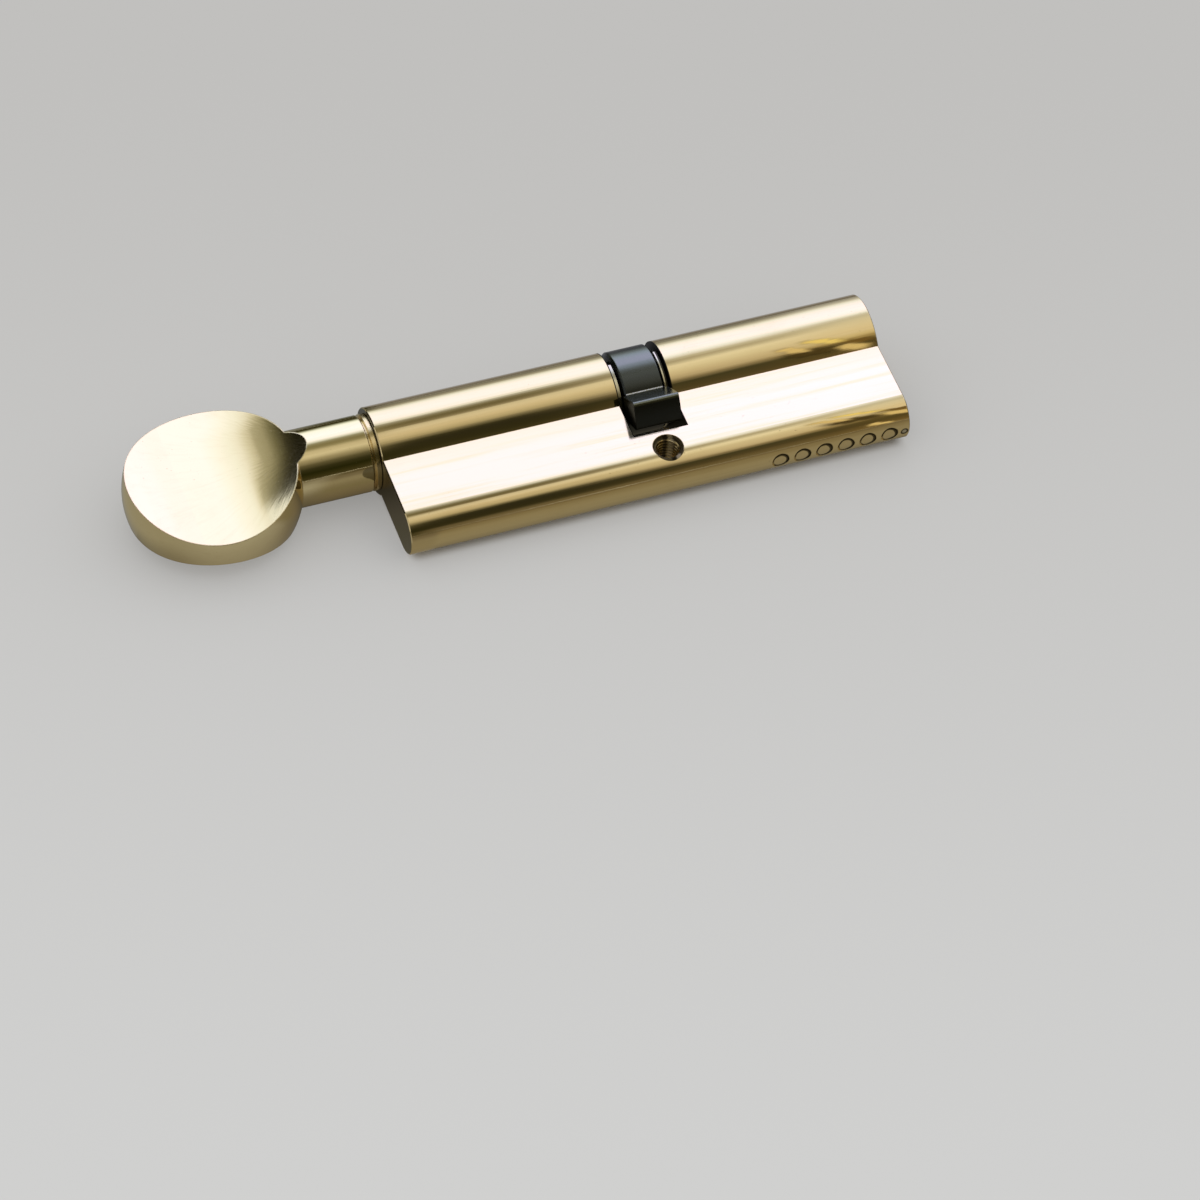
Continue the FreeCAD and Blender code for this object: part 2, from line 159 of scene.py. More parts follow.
class Bench:
    """A node tree, with one method that adds any node and a few that shorten common ones."""

    def __init__(self, tree: bpy.types.NodeTree) -> None:
        """Takes over the tree and empties it."""
        self.tree = tree
        tree.nodes.clear()

    def node(self, kind: str, settings: dict, sockets: dict[str | int, Value], out: str | int = 0) -> Link:
        """Adds a node.

        Args:
            kind: The node's type.
            settings: Its own settings, which are set first. The key stops holds a ramp's stops.
            sockets: A value or a link for each input, by name or number.
            out: The output that is handed back.

        Returns:
            The chosen output.
        """
        node = self.tree.nodes.new(kind)
        for key, setting in settings.items():
            if key == "stops":
                self.set_ramp(node.color_ramp, setting)
            else:
                setattr(node, key, setting)
        for key, value in sockets.items():
            socket = node.inputs[key]
            if isinstance(value, Link):
                self.tree.links.new(value.socket, socket)
            elif isinstance(value, tuple) and len(socket.default_value) == 4:
                socket.default_value = (*value, 1.0)
            else:
                socket.default_value = value
        return Link(self, node.outputs[out] if node.outputs else None)

    def set_ramp(self, ramp: bpy.types.ColorRamp, stops: list[tuple[float, Colour]]) -> None:
        """Gives a ramp its stops.

        Args:
            ramp: A new ramp.
            stops: The places, from 0 to 1, and their colours.
        """
        while len(ramp.elements) < len(stops):
            ramp.elements.new(1.0)
        for element, (place, colour) in zip(ramp.elements, stops):
            element.position = place
            element.color = (*colour, 1.0)

    def math(self, operation: str, *values: Value) -> Link:
        """One Math node on up to three values."""
        return self.node("ShaderNodeMath", {"operation": operation}, dict(enumerate(values)))

    def vector(self, operation: str, *values: Value) -> Link:
        """One Vector Math node on up to three vectors."""
        return self.node("ShaderNodeVectorMath", {"operation": operation}, dict(enumerate(values)))

    def most(self, *values: Link) -> Link:
        """The largest of two or three values."""
        first = self.math("MAXIMUM", values[0], values[1])
        return self.most(first, *values[2:]) if len(values) > 2 else first

    def mix(self, mask: Value, base: Value, top: Value, blend: str = "MIX") -> Link:
        """The base colour where the mask is 0. Where it is 1, the top colour or its blend with the base."""
        settings = {"data_type": "RGBA", "blend_type": blend}
        return self.node("ShaderNodeMix", settings, {0: mask, 6: base, 7: top}, 2)

    def lit(self, value: Link, looks: Stops, unit: float = 1.0) -> Link:
        """The light for a value, by a ramp whose ends are the first and the last place.

        The ramp holds the light at a third of its brightness, and the result is three times as bright.

        Args:
            value: What the places are compared with.
            looks: Places in ascending order, each with the look that brass takes in the light there.
            unit: The unit of the places.

        Returns:
            The light's colour.
        """
        low, high = looks[0][0] * unit, looks[-1][0] * unit
        stops = []
        for place, look in looks:
            dimmed = tuple(part / RAMP_GAIN for part in light_for(look))
            stops.append(((place * unit - low) / (high - low), dimmed))
        sockets = {"Value": value, "From Min": low, "From Max": high}
        share = self.node("ShaderNodeMapRange", {}, sockets, "Result")
        colour = self.node("ShaderNodeValToRGB", {"stops": stops}, {"Fac": share})
        return self.vector("MULTIPLY", colour, (RAMP_GAIN,) * 3)

    def noise(self, place: Link, detail: float = 2.0, roughness: float = 0.5) -> Link:
        """Noise of about one cell per unit of place, from 0 to 1."""
        sockets = {"Vector": place, "Scale": 1.0, "Detail": detail, "Roughness": roughness}
        return self.node("ShaderNodeTexNoise", {}, sockets)

    def place(self) -> Link:
        """Where the surface point lies, in metres."""
        return self.node("ShaderNodeTexCoord", {}, {}, "Object")

    def scaled(self, scale: float) -> Link:
        """Where the surface point lies, in units of one over the scale."""
        return self.vector("MULTIPLY", self.place(), (scale, scale, scale))

    def combine(self, x: Value, y: Value, z: Value) -> Link:
        """A vector from three values."""
        return self.node("ShaderNodeCombineXYZ", {}, {0: x, 1: y, 2: z})

    def split(self, vector: Link) -> tuple[Link, Link, Link]:
        """The three values of a vector."""
        node = self.node("ShaderNodeSeparateXYZ", {}, {0: vector}).socket.node
        return Link(self, node.outputs[0]), Link(self, node.outputs[1]), Link(self, node.outputs[2])

    def length(self, first: Link, second: Link) -> Link:
        """The root of the sum of two squares."""
        return self.math("SQRT", first * first + second * second)

    def glow(self, colour: Value) -> Link:
        """Light of one colour at full strength."""
        return self.node("ShaderNodeEmission", {}, {"Color": colour, "Strength": 1.0})

    def surface(self, shader: Link) -> None:
        """Puts a shader on the material's surface."""
        self.node("ShaderNodeOutputMaterial", {}, {"Surface": shader})


def blank(name: str) -> tuple[bpy.types.Material, Bench]:
    """A new material and the bench for its nodes.

    Args:
        name: The material's name.

    Returns:
        The material and its bench.
    """
    made = bpy.data.materials.new(name)
    made.use_nodes = True
    return made, Bench(made.node_tree)


@dataclass(frozen=True)
class Layout:
    """Where the lock's parts lie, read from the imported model.

    Profile coordinates are x from the middle of the cam along the plug axis, y from the plug axis up the
    profile, and z from the plug axis out of the upper flank. The profile leans by the angle lean.
    """

    axis_y: float
    axis_z: float
    lean: float
    cam_x: float
    slot_half: float
    body_low: float
    body_high: float
    body_front: float
    body_back: float
    stopper_x: float
    stopper_pitch: float
    knob_x: float
    pin_x: float
    screw_drop: float = 18.8 * MM
    flank_z: float = 5.0 * MM
    nose_angle: float = math.radians(32.2)
    ring_gap: float = 0.04 * MM

    @classmethod
    def read(cls) -> "Layout":
        """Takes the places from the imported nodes' boxes.

        The plug axis is in the middle of the key plug. The lean is the way from it to a chamber's stopper.

        Returns:
            The layout.
        """
        axis, cam_x = middle("key_plug"), middle("cam").x
        stopper, next_stopper = middle("chamber_stopper_1"), middle("chamber_stopper_2")
        body_low, body_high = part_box("housing")
        knob_low, knob_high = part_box("thumb_knob")
        lean = math.atan2(axis.z - stopper.z, axis.y - stopper.y)
        return cls(
            axis_y=axis.y, axis_z=axis.z, lean=lean, cam_x=cam_x,
            slot_half=cam_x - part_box("thumb_retaining_ring")[0].x + cls.ring_gap,
            body_low=body_low.x, body_high=body_high.x, body_front=body_low.y, body_back=body_high.y,
            stopper_x=stopper.x, stopper_pitch=stopper.x - next_stopper.x,
            knob_x=knob_low.x + (knob_high.y - knob_low.y) / 2, pin_x=middle("foot_guard_pin").x - cam_x,
        )

    def profile(self, bench: Bench) -> tuple[Link, Link, Link]:
        """The surface point in profile coordinates: its offsets from the plug axis, turned back by the lean.

        Args:
            bench: The bench of the material.

        Returns:
            The three coordinates.
        """
        x, y, z = bench.split(bench.place())
        off_y, off_z = y - self.axis_y, z - self.axis_z
        cosine, sine = math.cos(self.lean), math.sin(self.lean)
        return x - self.cam_x, off_y * cosine + off_z * sine, off_z * cosine - off_y * sine

    def nose(self, bench: Bench) -> tuple[Link, Link]:
        """The surface point as the cam's nose has it: its profile coordinates, turned by the nose's angle.

        Args:
            bench: The bench of the material.

        Returns:
            How far it is from the plug axis along the nose, and how far above the nose's middle plane.
        """
        _, y, z = self.profile(bench)
        cosine, sine = math.cos(self.nose_angle), math.sin(self.nose_angle)
        return z * sine - y * cosine, y * sine + z * cosine

    def angle(self, bench: Bench, y: Link, z: Link) -> Link:
        """A point's angle round the plug axis, in degrees from straight up toward the back."""
        return bench.math("ARCTAN2", y - self.axis_y, z - self.axis_z) * (180 / math.pi)

    def round_sheet(self, radius: float, ends: Span, angles: Span, columns: int) -> Grid:
        """A sheet that bends round the plug axis: at each angle, the point at one radius from the axis.

        Args:
            radius: How far it is from the plug axis.
            ends: Where it starts and ends along the axis.
            angles: Where it starts and ends, in degrees from straight up toward the back.
            columns: How many points it has round the axis.

        Returns:
            The points, two rows of them.
        """
        angle = np.radians(np.linspace(*angles, columns))
        points = np.empty((2, columns, 3))
        points[..., 0] = np.array(ends)[:, None]
        points[..., 1] = self.axis_y + radius * np.sin(angle)
        points[..., 2] = self.axis_z + radius * np.cos(angle)
        return points


class Grain(Enum):
    """Which way the finest tool marks of a finish run."""

    LENGTHWISE = "along the plug axis"
    TURNED = "round the plug axis"
    FANNED = "out from the neck of the knob"
    EVEN = "no way in particular"


@dataclass(frozen=True)
class Shade:
    """A patch of a surface with a colour and a polish of its own, or with painted light or shade."""

    colour: Colour
    roughness: float
    strength: float = 1.0

    def mask(self, bench: Bench, layout: Layout) -> Link:
        """1 on the patch and 0 elsewhere."""
        raise NotImplementedError


@dataclass(frozen=True)
class SlotShade(Shade):
    """Painted shade on the walls of the cam slot and on what lies in it, on both sides of the cam."""

    radius: float = 15.7 * MM
    rim: float = 0.19 * MM
    edge: float = 0.03 * MM

    def mask(self, bench: Bench, layout: Layout) -> Link:
        """The slot's width, rim included, inside the circle that the cam's nose sweeps.

        Args:
            bench: The bench of the material.
            layout: Where the lock's parts lie.

        Returns:
            1 on the patch and 0 elsewhere.
        """
        x, y, z = layout.profile(bench)
        wide = layout.slot_half + self.rim
        across = abs(x).step(wide + self.edge, wide)
        return across * bench.length(y, z).step(self.radius + 2 * self.edge, self.radius + self.edge)


@dataclass(frozen=True)
class HoleShade(Shade):
    """The tapped hole of the fixing screw, below the flanks, or a part of it."""

    radius: float = 3.05 * MM
    inner: float = 0.0
    low_x: float = -5.0 * MM
    high_x: float = 5.0 * MM
    edge: float = 0.10 * MM
    side_edge: float = 0.35 * MM
    under_flank: Span = (0.01 * MM, 0.12 * MM)

    def mask(self, bench: Bench, layout: Layout) -> Link:
        """Between two cylinders round the hole and between two places along x, just under each flank.

        Args:
            bench: The bench of the material.
            layout: Where the lock's parts lie.

        Returns:
            1 on the patch and 0 elsewhere.
        """
        x, y, z = layout.profile(bench)
        off = bench.length(x, y + layout.screw_drop)
        inside = off.step(self.radius + self.edge, self.radius) * off.step(self.inner - self.edge, self.inner)
        inside = inside * x.within(self.low_x, self.high_x, self.side_edge)
        shallow, deep = self.under_flank
        return inside * abs(z).step(layout.flank_z - shallow, layout.flank_z - deep)


@dataclass(frozen=True)
class Thread:
    """The right-handed turns of the fixing screw's thread, which run out in the countersinks."""

    radius: float = 2.8 * MM
    depth: float = 0.4 * MM
    pitch: float = 0.8 * MM
    half_length: float = 4.8 * MM
    run_out: Span = (4.3 * MM, 4.0 * MM)
    faint: float = 0.25
    gap: float = 0.04 * MM
    edge: float = 0.05 * MM

    def inside(self, bench: Bench, layout: Layout) -> Link:
        """The wall of the hole.

        Args:
            bench: The bench of the material.
            layout: Where the lock's parts lie.

        Returns:
            1 on the wall and 0 elsewhere.
        """
        x, y, z = layout.profile(bench)
        off = bench.length(x, y + layout.screw_drop)
        near = off.step(self.radius + 3 * self.gap, self.radius + self.gap)
        return near * abs(z).step(self.half_length + self.edge, self.half_length - self.edge)

    def root(self, bench: Bench, layout: Layout) -> Link:
        """How near the root of the thread is: how far the height less the turn is from a whole pitch.

        Args:
            bench: The bench of the material.
            layout: Where the lock's parts lie.

        Returns:
            0 at the thread's crest and 1 at its root.
        """
        x, y, z = layout.profile(bench)
        turn = bench.math("ARCTAN2", y + layout.screw_drop, x) / (2 * math.pi)
        return bench.math("PINGPONG", z / self.pitch - turn, 0.5) * 2.0

    def height(self, bench: Bench, layout: Layout) -> Link:
        """The height of the wall over the crest, with shallower turns in the countersinks.

        Args:
            bench: The bench of the material.
            layout: Where the lock's parts lie.

        Returns:
            The height in metres, which is 0 outside the hole and less than 0 in it.
        """
        _, _, z = layout.profile(bench)
        depth = abs(z).step(*self.run_out) * ((1 - self.faint) * self.depth) + self.faint * self.depth
        return self.inside(bench, layout) * self.root(bench, layout) * depth * -1.0


@dataclass(frozen=True)
class ThreadShade(Shade):
    """Painted shade in the roots of the thread."""

    thread: Thread = Thread()
    fade: Span = (0.45, 0.80)

    def mask(self, bench: Bench, layout: Layout) -> Link:
        """1 at the roots inside the hole and 0 elsewhere."""
        return self.thread.inside(bench, layout) * self.thread.root(bench, layout).step(*self.fade)


@dataclass(frozen=True)
class StopperShade(Shade):
    """Painted shade in the grooves round the stoppers of the pin chambers, wider toward the key side.

    A noise varies their width. Its swing and the trim are shares of the half width, and its cells are counted
    per metre.
    """

    radius: float = 1.42 * MM
    half_width: float = 0.18 * MM
    count: int = 6
    row_end: float = 2.0 * MM
    row_edge: float = 0.10 * MM
    edge: float = 0.09 * MM
    cells: float = 650.0
    cells_apart: float = 7.0
    swing: float = 2.8
    trim: float = 0.30
    widening: float = 0.09

    def mask(self, bench: Bench, layout: Layout) -> Link:
        """Where the distance from the nearest chamber's axis is about the ring's radius, in the row's length.

        Args:
            bench: The bench of the material.
            layout: Where the lock's parts lie.

        Returns:
            1 on the patch and 0 elsewhere.
        """
        x, y, z = layout.profile(bench)
        first = layout.stopper_x - layout.cam_x
        last = first - (self.count - 1) * layout.stopper_pitch
        nearest = bench.math("ROUND", (first - x) / layout.stopper_pitch)
        off_x = bench.math("WRAP", x - first, layout.stopper_pitch / 2, -layout.stopper_pitch / 2)
        low = bench.math("LESS_THAN", y, -2 * layout.flank_z)
        in_row = x.within(last - self.row_end, first + self.row_end, self.row_edge) * low
        distance = abs(bench.length(off_x, z) - self.radius)
        cell = bench.combine(nearest * self.cells_apart, off_x * self.cells, z * self.cells)
        wide = bench.noise(cell) * (self.swing * self.half_width)
        wide = wide + off_x * self.widening - self.half_width * self.trim
        return (wide - distance).step(-self.edge, self.edge) * in_row


@dataclass(frozen=True)
class PinRingShade(Shade):
    """Painted shade in the gap round the small hard pin in the foot."""

    radius: float = 0.62 * MM
    fade: Span = (0.23 * MM, 0.11 * MM)

    def mask(self, bench: Bench, layout: Layout) -> Link:
        """Where the distance from the pin's axis is about the ring's radius, on the foot's bottom.

        Args:
            bench: The bench of the material.
            layout: Where the lock's parts lie.

        Returns:
            1 on the patch and 0 elsewhere.
        """
        x, y, z = layout.profile(bench)
        distance = abs(bench.length(x - layout.pin_x, z) - self.radius)
        return distance.step(*self.fade) * bench.math("LESS_THAN", y, -2 * layout.flank_z)


@dataclass(frozen=True)
class FlankShade(Shade):
    """The ground flanks, whiter than the drawn rounds, with faint streaks along them and near the barrel."""

    top: float = -6.6 * MM
    bottom: float = -19.5 * MM
    edge: float = 0.1 * MM
    skin: float = 0.02 * MM
    cells_along: float = 22.0
    cells_across: float = 750.0
    streak_fade: Span = (0.30, 0.56)
    barrel_fade: Span = (-7.5 * MM, -12.5 * MM)
    barrel_share: float = 0.4

    def mask(self, bench: Bench, layout: Layout) -> Link:
        """The flat sides, less in long thin streaks, and half as much close to the barrel.

        Args:
            bench: The bench of the material.
            layout: Where the lock's parts lie.

        Returns:
            1 on the patch and 0 elsewhere.
        """
        x, y, z = layout.profile(bench)
        flat = abs(z).step(layout.flank_z - 2 * self.skin, layout.flank_z - self.skin)
        across = y.within(self.bottom, self.top, self.edge)
        cell = bench.combine(x * self.cells_along, y * self.cells_across, z * self.cells_across)
        streaks = bench.noise(cell, detail=4.0, roughness=0.6).step(*self.streak_fade)
        low = y.step(*self.barrel_fade) * (1 - self.barrel_share) + self.barrel_share
        return flat * across * streaks * low


@dataclass(frozen=True)
class RingShade(Shade):
    """The outer half of the ring on the key side, which lies in the slot's shade."""

    fade: Span = (4.42 * MM, 4.52 * MM)

    def mask(self, bench: Bench, layout: Layout) -> Link:
        """1 beyond a place along the plug axis and 0 before it."""
        x, _, _ = layout.profile(bench)
        return x.step(*self.fade)


@dataclass(frozen=True)
class EndShade(Shade):
    """The milled end faces of the housing, duller, and darkened with painted shade."""

    depth: float = 0.02 * MM

    def mask(self, bench: Bench, layout: Layout) -> Link:
        """Within a small depth of either end.

        Args:
            bench: The bench of the material.
            layout: Where the lock's parts lie.

        Returns:
            1 on the patch and 0 elsewhere.
        """
        x, _, _ = bench.split(bench.place())
        low = x.step(layout.body_low + 2 * self.depth, layout.body_low + self.depth)
        return low + x.step(layout.body_high - 2 * self.depth, layout.body_high - self.depth)


@dataclass(frozen=True)
class NoseShade(Shade):
    """Painted shade on the cam's top and lower half with the nose, less on the nose's upper face and tip.

    The low and top fades are angles from straight out of the upper flank, up the profile.
    """

    low_fade: Span = (math.radians(7.0), math.radians(-26.0))
    top_fade: Span = (math.radians(24.0), math.radians(33.0))
    top_share: float = 0.8
    tip_fade: Span = (14.0 * MM, 14.3 * MM)
    tip_rise: Span = (1.9 * MM, 2.25 * MM)
    face: Span = (8.2 * MM, 14.2 * MM)
    face_edge: float = 0.15 * MM
    face_rise: Span = (1.9 * MM, 2.2 * MM)
    ring_fade: Span = (8.7 * MM, 8.5 * MM)
    ring_share: float = 0.15

    def mask(self, bench: Bench, layout: Layout) -> Link:
        """The top and all below an angle, less the nose's upper face with its edge, and less on the ring.

        Args:
            bench: The bench of the material.
            layout: Where the lock's parts lie.

        Returns:
            1 on the patch and 0 elsewhere.
        """
        _, y, z = layout.profile(bench)
        along, up = layout.nose(bench)
        turn = bench.math("ARCTAN2", y, z)
        tip = along.step(*self.tip_fade) * up.step(*self.tip_rise)
        face = along.within(*self.face, self.face_edge) * up.step(*self.face_rise)
        ring = bench.length(y, z).step(*self.ring_fade) * self.ring_share
        above = turn.step(*self.top_fade) * self.top_share
        return bench.most(above, turn.step(*self.low_fade) * (1 - bench.most(tip, face, ring)))


@dataclass(frozen=True)
class RootPaintedHighlight(Shade):
    """A painted highlight: the bright line where the cam's nose leaves its ring."""

    along: Span = (8.0 * MM, 8.5 * MM)
    up: Span = (2.2 * MM, 2.8 * MM)
    edge: float = 0.10 * MM

    def mask(self, bench: Bench, layout: Layout) -> Link:
        """1 on a narrow strip of the nose's upper face and of the ring beside it, and 0 elsewhere."""
        along, up = layout.nose(bench)
        return along.within(*self.along, self.edge) * up.within(*self.up, self.edge)


@dataclass(frozen=True)
class SideShade(Shade):
    """Painted shade on the cam's two sides, which face the walls of the slot."""

    fade: Span = (4.49 * MM, 4.52 * MM)

    def mask(self, bench: Bench, layout: Layout) -> Link:
        """1 within a small depth of either side and 0 elsewhere."""
        x, _, _ = layout.profile(bench)
        return abs(x).step(*self.fade)


@dataclass(frozen=True)
class SpeckShade(Shade):
    """Fine specks of tarnish and dust."""

    cell: float = 0.55 * MM
    cloud_cell: float = 1 / 60.0
    tips: Span = (0.74, 0.80)
    clouds: Span = (0.45, 0.6)

    def mask(self, bench: Bench, layout: Layout) -> Link:
        """The highest tips of a fine noise, where a wide noise allows them.

        Args:
            bench: The bench of the material.
            layout: Not used.

        Returns:
            1 on the patch and 0 elsewhere.
        """
        fine = bench.noise(bench.scaled(1 / self.cell), detail=1.0)
        wide = bench.noise(bench.scaled(1 / self.cloud_cell))
        return fine.step(*self.tips) * wide.step(*self.clouds)


@dataclass(frozen=True)
class Metal:
    """A metal finish: its colour, its polish, the marks that a tool left on it, and its patches.

    Lengthwise and fanned marks are drawn out along their way, so that their cells are a small share as dense
    there. Turned marks have a few cells per radian round the plug axis.
    """

    name: str
    colour: Colour
    stain: Colour
    roughness: float
    roughness_spread: float
    grain: Grain
    grain_pitch: float
    grain_height: float
    stain_share: float = 0.25
    mark_share: float = 0.22
    edge: float = 0.10 * MM
    shades: tuple[Shade, ...] = ()
    thread: Thread | None = None
    long_share: float = 0.012
    fan_share: float = 0.05
    fan_start: float = 19 * MM
    fan_radius: float = 12 * MM
    turned_cells: float = 1.5
    cloud_cells: float = 90.0
    cloud_fade: Span = (0.5, 0.85)
    mark_fade: Span = (0.45, 0.85)
    mark_spread: float = 0.6

    def marks_at(self, bench: Bench, layout: Layout) -> Link:
        """The place in a noise whose cells are the marks: about one unit wide, and long along their way.

        Args:
            bench: The bench of the material.
            layout: Where the plug axis and the knob lie.

        Returns:
            The place.
        """
        x, y, z = layout.profile(bench)
        fine = 1.0 / self.grain_pitch
        if self.grain is Grain.LENGTHWISE:
            return bench.combine(x * (fine * self.long_share), y * fine, z * fine)
        if self.grain is Grain.TURNED:
            turn = bench.math("ARCTAN2", z, y)
            return bench.combine(x * fine, bench.length(y, z) * fine, turn * self.turned_cells)
        if self.grain is Grain.FANNED:
            off_x = x - (layout.knob_x - layout.cam_x + self.fan_start)
            out = bench.length(off_x, y) * (fine * self.fan_share)
            return bench.combine(out, bench.math("ARCTAN2", y, off_x) * (self.fan_radius * fine), z * fine)
        return bench.combine(x * fine, y * fine, z * fine)

    def material(self, layout: Layout) -> bpy.types.Material:
        """Builds the finish.

        Args:
            layout: Where the lock's parts lie, for the marks and the patches.

        Returns:
            A new material.
        """
        made, bench = blank(self.name)
        marks = bench.noise(self.marks_at(bench, layout), detail=3.0, roughness=0.6)
        cloud = bench.noise(bench.scaled(self.cloud_cells), detail=4.0, roughness=0.6)
        stain = cloud.step(*self.cloud_fade) * self.stain_share
        stain = stain + marks.step(*self.mark_fade) * self.mark_share
        colour = bench.mix(stain, self.colour, self.stain)
        rough = (cloud - 0.5) * self.roughness_spread
        rough = rough + (marks - 0.5) * (self.roughness_spread * self.mark_spread) + self.roughness
        for shade in self.shades:
            mask = shade.mask(bench, layout) * shade.strength
            colour = bench.mix(mask, colour, shade.colour)
            rough = rough + mask * (shade.roughness - self.roughness)
        rounded = bench.node("ShaderNodeBevel", {"samples": 4}, {"Radius": self.edge})
        height = marks * self.grain_height
        if self.thread:
            height = height + self.thread.height(bench, layout)
        bump = bench.node("ShaderNodeBump", {}, {
            "Height": height, "Strength": 1.0, "Distance": 1.0, "Normal": rounded,
        })
        bench.surface(bench.node("ShaderNodeBsdfPrincipled", {}, {
            "Base Color": colour, "Metallic": 1.0, "Roughness": rough, "Normal": bump,
        }))
        return made


# Painted shade in the cam slot, on its walls and on the plugs in it.
SLOT_PAINTED_SHADE = SlotShade((0.030, 0.026, 0.018), 0.50)
# Painted shade in the grooves round the chamber stoppers, heavier on the key side.
STOPPER_GROOVE_PAINTED_SHADE = StopperShade((0.060, 0.045, 0.020), 0.35, 0.92)
# Painted shade in the gap round the foot's hard pin.
PIN_GAP_PAINTED_SHADE = PinRingShade((0.060, 0.045, 0.020), 0.35, 0.92)
SPECKS = SpeckShade((0.45, 0.34, 0.17), 0.30, 0.55)
HOLE_SHADES = (
    HoleShade((0.80, 0.62, 0.30), 0.20),
    # Painted shade in the roots of the thread.
    ThreadShade((0.16, 0.11, 0.045), 0.40),
    # Painted shade on the countersink cones, which would otherwise mirror the bright tent.
    HoleShade((0.15, 0.12, 0.06), 0.55, inner=2.35 * MM),
    # A painted dark reflection: a band down the middle of the hole's wall.
    HoleShade((0.055, 0.04, 0.02), 0.40, 0.85, low_x=0.0, high_x=0.45 * MM),
    # A painted bright reflection: a band down the hole's wall, beside the dark one.
    HoleShade((0.98, 0.86, 0.62), 0.25, 0.55, low_x=1.0 * MM, high_x=1.5 * MM),
)

# The flank tone and the specks are the brass's own; the end faces, stopper grooves, pin ring, hole and slot
# carry painted shade, and the hole painted reflections.
HOUSING_BRASS = Metal("housing_brass_polished", BRASS, (0.70, 0.52, 0.24), 0.07, 0.04,
                      Grain.LENGTHWISE, 0.60 * MM, 0.007 * MM, edge=0.12 * MM,
                      shades=(FlankShade((0.91, 0.755, 0.475), 0.11), EndShade((0.17, 0.15, 0.09), 0.30),
                              SPECKS, STOPPER_GROOVE_PAINTED_SHADE, PIN_GAP_PAINTED_SHADE, *HOLE_SHADES, SLOT_PAINTED_SHADE), thread=Thread())
KNOB_BRASS = Metal("knob_brass_polished", (0.90, 0.745, 0.405), (0.76, 0.59, 0.29), 0.040, 0.02,
                   Grain.FANNED, 0.55 * MM, 0.0011 * MM, edge=0.30 * MM, shades=(SPECKS,))
SPINDLE_BRASS = Metal("spindle_brass_turned", (0.86, 0.69, 0.36), (0.60, 0.42, 0.17), 0.18, 0.08,
                      Grain.TURNED, 0.12 * MM, 0.003 * MM, shades=(SLOT_PAINTED_SHADE,))
KEY_PLUG_BRASS = Metal("key_plug_brass_turned", (0.86, 0.69, 0.36), (0.60, 0.42, 0.17), 0.17, 0.08,
                       Grain.TURNED, 0.12 * MM, 0.003 * MM, shades=(SLOT_PAINTED_SHADE,))
STOPPER_BRASS = Metal("stopper_brass_filed", (0.82, 0.66, 0.36), (0.50, 0.36, 0.16), 0.20, 0.08,
                      Grain.LENGTHWISE, 0.12 * MM, 0.003 * MM,
                      shades=(STOPPER_GROOVE_PAINTED_SHADE,))
PIN_BRASS = Metal("pin_brass_turned", (0.84, 0.72, 0.46), (0.60, 0.46, 0.22), 0.22, 0.08,
                  Grain.EVEN, 0.12 * MM, 0.003 * MM)
# The cam's patches are painted light: shade on its top, lower half and sides, and a highlight at the nose's
# root.
CAM_STEEL = Metal("cam_steel_blackened", (0.21, 0.225, 0.175), (0.10, 0.105, 0.095), 0.24, 0.14,
                  Grain.EVEN, 0.22 * MM, 0.006 * MM, stain_share=0.5, edge=0.25 * MM,
                  shades=(NoseShade((0.045, 0.051, 0.054), 0.30), RootPaintedHighlight((1.0, 1.0, 0.86), 0.25),
                          SideShade((0.022, 0.022, 0.019), 0.40)))
CLUTCH_STEEL = Metal("clutch_steel_sintered", (0.42, 0.42, 0.43), (0.24, 0.24, 0.25), 0.38, 0.12,
                     Grain.EVEN, 0.10 * MM, 0.004 * MM)
RING_STEEL = Metal("ring_steel_bright", (0.66, 0.61, 0.43), (0.46, 0.44, 0.34), 0.20, 0.08,
                   Grain.TURNED, 0.10 * MM, 0.002 * MM, shades=(RingShade((0.05, 0.045, 0.03), 0.40),))
GUARD_STEEL = Metal("guard_steel_hard", (0.62, 0.56, 0.42), (0.34, 0.31, 0.24), 0.26, 0.10,
                    Grain.EVEN, 0.10 * MM, 0.003 * MM, shades=(PIN_GAP_PAINTED_SHADE,))
SPRING_STEEL = Metal("spring_steel_drawn", (0.70, 0.70, 0.71), (0.42, 0.41, 0.39), 0.24, 0.08,
                     Grain.EVEN, 0.08 * MM, 0.002 * MM, edge=0.03 * MM)


def dress(node: str, material: bpy.types.Material) -> None:
    """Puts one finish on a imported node.

    Args:
        node: The node's name.
        material: Its finish.
    """
    mesh = frame["nodes"][node].data
    mesh.materials.clear()
    mesh.materials.append(material)
    log.info("dressed %s", node)


def shorten(spring: str, joint: str) -> None:
    """Logs how much of a packed spring's length its slide leaves, and gives the spring a mesh of its own.

    Args:
        spring: The spring's node, whose length is that of its own points along the slide's way.
        joint: The slide, which ends a travel above its rest.
    """
    slide = next(entry for entry in frame["joints"] if entry["name"] == joint)
    wire = frame["nodes"][spring]
    way = Vector(slide["axis"]).normalized()
    places = [way.dot(point.co) for point in wire.data.vertices]
    kept = 1 - slide["range_m"][1] / (max(places) - min(places))
    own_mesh(wire)
    log.info("%s keeps %.2f of its length", spring, kept)


